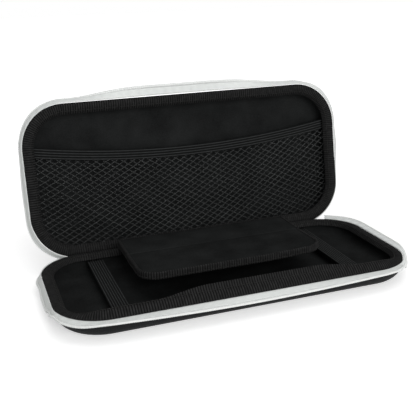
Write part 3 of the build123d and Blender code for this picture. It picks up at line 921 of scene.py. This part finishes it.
class CASE_OT_pocket(bpy.types.Operator):
    """Make the net pocket of the lid with its elastic hem"""

    bl_idname = "case.pocket"
    bl_label = "Net pocket"

    def execute(self, context):
        size = context.scene.case_sizes
        reach = RIM_W / 2 - WALL - WALL_GAP
        path = []
        for step in range(161):
            x = reach * (2 * step / 160 - 1)
            point = Vector((x, hem_line(x, size.hem_w / 2), -size.net_depth + 0.4 * MM))
            ahead = Vector((MM, hem_line(x + MM, 0) - hem_line(x, 0), 0)).normalized()
            path.append((point, Vector((-ahead.y, ahead.x, 0)), Vector((0, 0, 1))))
        web = ribbed_web(path, size.hem_w, size.hem_t - 0.4 * MM, size.hem_ribs, 0.6 * MM)
        make(web, "pocket_elastic", LID_PLACE, "lid", "elastic", ["pocket_hem"])

        rows = math.ceil(REAR * 2 / size.net_cell_h) * 2
        cols = math.ceil(RIM_W / size.net_cell_w) + 2
        bm = bmesh.new()
        for lean in (-1, 1):
            starts = [(0, col) for col in range(-cols, cols + 1) if col % 2 == 0]
            starts += [(row, -lean * cols - (row % 2) * lean) for row in range(2, rows)]
            for row, col in starts:
                strand = []
                while row <= rows:
                    knot = net_node(row, col)
                    if net_ok(knot):
                        strand.append(knot + Vector((0, 0, 0.16 * MM * -lean)))
                    elif strand:
                        break
                    row, col = row + 1, col + lean
                if len(strand) > 1:
                    tube(bm, strand, size.net_yarn / 2)
        net = make(bm, "pocket_net", LID_PLACE, "lid", "net", ["mesh_pocket"])
        return {"FINISHED"}


class CASE_OT_flap(bpy.types.Operator):
    """Make the padded flap with its binding and the cloth that joins it to the rear rim"""

    bl_idname = "case.flap"
    bl_label = "Flap"

    def execute(self, context):
        size = context.scene.case_sizes
        corner = FLAP_FRONT + size.flap_r
        lines = [corner + (FLAP_REAR - corner) * n / 38 for n in range(39)]
        lines = sorted(lines + [FLAP_CREASE + near * MM for near in (-1.2, -0.7, -0.3, 0.3, 0.7, 1.2)])
        rows, wide, deep = [], 68, 10
        for row in range(deep + len(lines)):
            top, low = [], []
            for col in range(wide + 1):
                x = (2 * col / wide - 1) * (size.flap_w / 2 - 0.2 * MM)
                bay = max(0, abs(x) - size.flap_w / 2 + size.flap_r)
                front = corner - math.sqrt(size.flap_r**2 - bay**2)
                y = lines[row - deep] if row >= deep else front + (corner - front) * row / deep
                soft = noise.noise(Vector((x * 40, y * 40, 2)))
                z = flap_top(x, y)
                top.append(Vector((x, y, z + 0.15 * MM * soft)))
                low.append(Vector((x, y, z - size.flap_t)))
            rows.append(top + low[::-1])
        bm = bmesh.new()
        skin(bm, rows, [n * 1.5 * MM for n in range(len(rows))], ring=True)
        pad = make(bm, "flap_pad", BASE_PLACE, "base", "lining_cloth", ["flap_panel"])
        swell(pad, [v.index for v in pad.data.vertices if flap_sewn(v.co)], 4.0, 0.8 * MM)

        runs = flap_runs(0)
        total = sum(run[1] for run in runs)
        ribs = round(total / size.rib_pitch)
        stations = walk(runs, ribs * 4)
        rows = []
        for station in stations:
            rib = size.rib_rise * (0.5 - 0.5 * math.cos(2 * math.pi * station.along * ribs / total))
            top = flap_top(station.point.x, station.point.y) + size.flap_bind_t
            low = top - size.flap_t - 2 * size.flap_bind_t
            bulge = size.flap_bind_t - size.rib_rise + rib
            section = [(-size.flap_lip, top - 0.3 * MM), (-size.flap_lip / 2, top + rib / 2)]
            for step in range(9):
                turn = math.pi * (0.5 - step / 8)
                squash = abs(math.cos(turn)) ** 0.5
                section.append((bulge * squash, (top + low) / 2 + (top - low) / 2 * math.sin(turn)))
            section += [(-size.flap_lip / 2, low - rib / 2), (-size.flap_lip, low + 0.3 * MM)]
            rows.append([station.point + station.out * x + Vector((0, 0, z)) for x, z in section])
        bm = bmesh.new()
        skin(bm, rows, [s.along for s in stations], ring=True)
        make(bm, "flap_edge", BASE_PLACE, "base", "binding_tape", ["flap_binding"])

        rows, along = [], []
        for step in range(67):
            x = ROOT_W * (step / 66 - 0.5)
            sway = 0.25 * MM * noise.noise(Vector((x * 60, 0, 0)))
            rows.append([Vector((x, y * MM + sway, z * MM)) for y, z in ROOT_LINE])
            along.append(x)
        bm = bmesh.new()
        skin(bm, rows, along)
        root = make(bm, "flap_hinge_cloth", BASE_PLACE, "base", "lining_cloth", ["flap_root"])
        thick = root.modifiers.new("cloth", "SOLIDIFY")
        thick.thickness = 0.8 * MM
        return {"FINISHED"}


class CASE_OT_spine(bpy.types.Operator):
    """Make the cloth hinge between the two halves"""

    bl_idname = "case.spine"
    bl_label = "Cloth hinge"

    def execute(self, context):
        rows, along = [], []
        for step in range(149):
            x = SPINE_L * (step / 148 - 0.5)
            sway = 0.15 * MM * noise.noise(Vector((x * 70, 0, 4)))
            rows.append([Vector((x, y * MM, z * MM + sway)) for y, z in SPINE_LINE])
            along.append(x)
        bm = bmesh.new()
        skin(bm, rows, along)
        cloth = make(bm, "hinge_cloth", Matrix(), None, "shell_cloth", ["hinge_spine"])
        thick = cloth.modifiers.new("cloth", "SOLIDIFY")
        thick.thickness = 0.5 * MM
        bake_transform(cloth)
        return {"FINISHED"}


class CASE_OT_stitches(bpy.types.Operator):
    """Sew the stitches along the bindings"""

    bl_idname = "case.stitches"
    bl_label = "Stitches"

    def execute(self, context):
        size = context.scene.case_sizes
        stations = whole_rim(size.stitch_pitch)[0]
        for half, place in (("base", BASE_PLACE), ("lid", LID_PLACE)):
            bm = bmesh.new()
            for a, b in zip(stations, stations[1:] + stations[:1]):
                ends = []
                for station in (a, b):
                    inward, level = binding_section(half, station.place)[SEAM]
                    ends.append(station.point - station.out * inward + Vector((0, 0, level)))
                lift = Vector((0, 0, 0.3 * MM))
                shares = (0.1, 0.3, 0.65, 0.85)
                path = [ends[0].lerp(ends[1], s) + lift * (1 - abs(2 * s - 0.95)) for s in shares]
                tube(bm, path, size.stitch_w / 2)
            make(bm, half + "_seam", place, half, "binding_tape", looks=["thread"])

        runs = flap_runs(size.flap_bind_t)
        stations = walk(runs, round(sum(run[1] for run in runs) / size.stitch_pitch))
        bm = bmesh.new()
        for a, b in zip(stations, stations[1:]):
            level = Vector((0, 0, flap_top(a.point.x, a.point.y) - 0.8 * size.flap_t))
            path = [a.point.lerp(b.point, s) + level - a.out * 0.1 * MM for s in (0.15, 0.4, 0.6, 0.85)]
            tube(bm, path, size.stitch_w / 2)
        make(bm, "flap_seam", BASE_PLACE, "base", "binding_tape", looks=["thread"])
        return {"FINISHED"}


class CASE_OT_stage(bpy.types.Operator):
    """Set the floor, the lights and the camera"""

    bl_idname = "case.stage"
    bl_label = "Stage"

    def execute(self, context):
        scene = context.scene
        bm = bmesh.new()
        bmesh.ops.create_grid(bm, x_segments=1, y_segments=1, size=4)
        mesh = bpy.data.meshes.new("floor")
        bm.to_mesh(mesh)
        bm.free()
        mesh.materials.append(floor_paper())
        floor = bpy.data.objects.new("floor", mesh)
        scene.collection.objects.link(floor)

        world = bpy.data.worlds.new("studio")
        world.use_nodes = True
        scene.world = world
        tree = world.node_tree
        shader = tree.nodes["Background"]
        level = add(tree, "MapRange", {"Value": looked_at(tree), "To Min": 0.34, "To Max": 1.0})
        tree.links.new(level.outputs[0], shader.inputs["Strength"])
        shader.inputs["Color"].default_value = (1, 1, 1, 1)

        lights = (
            ("key", (0.1, -1.1, 0.42), 0.6, 6.3),
            ("top", (0.1, -0.15, 1.2), 1.2, 4.8),
        )
        for name, spot, width, power in lights:
            lamp = bpy.data.lights.new(name, "AREA")
            lamp.size = width
            lamp.energy = power
            lamp_object = bpy.data.objects.new(name, lamp)
            lamp_object.location = spot
            aim = Vector((0, 0, 0.05)) - Vector(spot)
            lamp_object.rotation_euler = aim.to_track_quat("-Z", "Y").to_euler()
            scene.collection.objects.link(lamp_object)

        lens = bpy.data.cameras.new("camera")
        lens.sensor_width = 36
        lens.lens = 60.906
        lens.clip_start = 0.01
        camera = bpy.data.objects.new("camera", lens)
        azimuth, rise, roll = (math.radians(a) for a in (-19.43, 18.2, -1.53))
        back = Vector(
            (math.sin(azimuth) * math.cos(rise), -math.cos(azimuth) * math.cos(rise), math.sin(rise))
        )
        right = Vector((math.cos(azimuth), math.sin(azimuth), 0))
        up = back.cross(right)
        right, up = (
            right * math.cos(roll) + up * math.sin(roll),
            up * math.cos(roll) - right * math.sin(roll),
        )
        spot = Vector((-12.14, 0, 57.27)) * MM + back * 494.244 * MM
        camera.matrix_world = Matrix.Translation(spot) @ Matrix((right, up, back)).transposed().to_4x4()
        scene.collection.objects.link(camera)
        scene.camera = camera
        scene.view_settings.view_transform = "Standard"
        return {"FINISHED"}


def looked_at(tree):
    """1 for rays from the camera, also through a mirror or glass, and 0 for the light on the object."""
    path = add(tree, "LightPath").outputs
    direct = add(tree, "Math", {0: path["Is Camera Ray"], 1: path["Is Glossy Ray"]}, operation="MAXIMUM")
    through = path["Is Transmission Ray"]
    return add(tree, "Math", {0: direct.outputs[0], 1: through}, operation="MAXIMUM").outputs[0]


def floor_paper():
    """Matt white studio paper, lifted to white for the camera and kept a little grey in the shadow."""
    base = bpy.context.scene.case_colours.floor
    found, tree, shader = material("studio_paper", Base_Color=base, Roughness=0.9)
    spot = add(tree, "TexCoord").outputs["Object"]
    away = add(tree, "VectorMath", {0: spot}, operation="LENGTH").outputs["Value"]
    white = add(tree, "MapRange", {"Value": away, "From Min": 0.2, "From Max": 0.5, "To Min": 0.5})
    lift = add(tree, "Math", {0: white.outputs[0], 1: looked_at(tree)}, operation="MULTIPLY")
    shader.inputs["Emission Color"].default_value = (1, 1, 1, 1)
    tree.links.new(lift.outputs[0], shader.inputs["Emission Strength"])
    return found


STEPS = (
    CASE_OT_shells,
    CASE_OT_bindings,
    CASE_OT_zippers,
    CASE_OT_sliders,
    CASE_OT_straps,
    CASE_OT_pocket,
    CASE_OT_flap,
    CASE_OT_spine,
    CASE_OT_stitches,
    CASE_OT_stage,
)


class CASE_PT_panel(bpy.types.Panel):
    """Sidebar panel with the steps and the values"""

    bl_idname = "CASE_PT_panel"
    bl_label = "Zip Case"
    bl_space_type = "VIEW_3D"
    bl_region_type = "UI"
    bl_category = "Zip Case"

    def draw(self, context):
        for step in STEPS:
            self.layout.operator(step.bl_idname)
        for group in (context.scene.case_sizes, context.scene.case_colours):
            for name in group.__annotations__:
                self.layout.prop(group, name)


CLASSES = (CaseSizes, CaseColours, *STEPS, CASE_PT_panel)


def register():
    for cls in CLASSES:
        bpy.utils.register_class(cls)
    bpy.types.Scene.case_sizes = PointerProperty(type=CaseSizes)
    bpy.types.Scene.case_colours = PointerProperty(type=CaseColours)


def unregister():
    del bpy.types.Scene.case_colours
    del bpy.types.Scene.case_sizes
    for cls in reversed(CLASSES):
        bpy.utils.unregister_class(cls)


def main():
    register()
    bpy.ops.case.shells()
    bpy.ops.case.bindings()
    bpy.ops.case.zippers()
    bpy.ops.case.sliders()
    bpy.ops.case.straps()
    bpy.ops.case.pocket()
    bpy.ops.case.flap()
    bpy.ops.case.spine()
    bpy.ops.case.stitches()
    bpy.ops.case.stage()


if __name__ == "__main__":
    main()
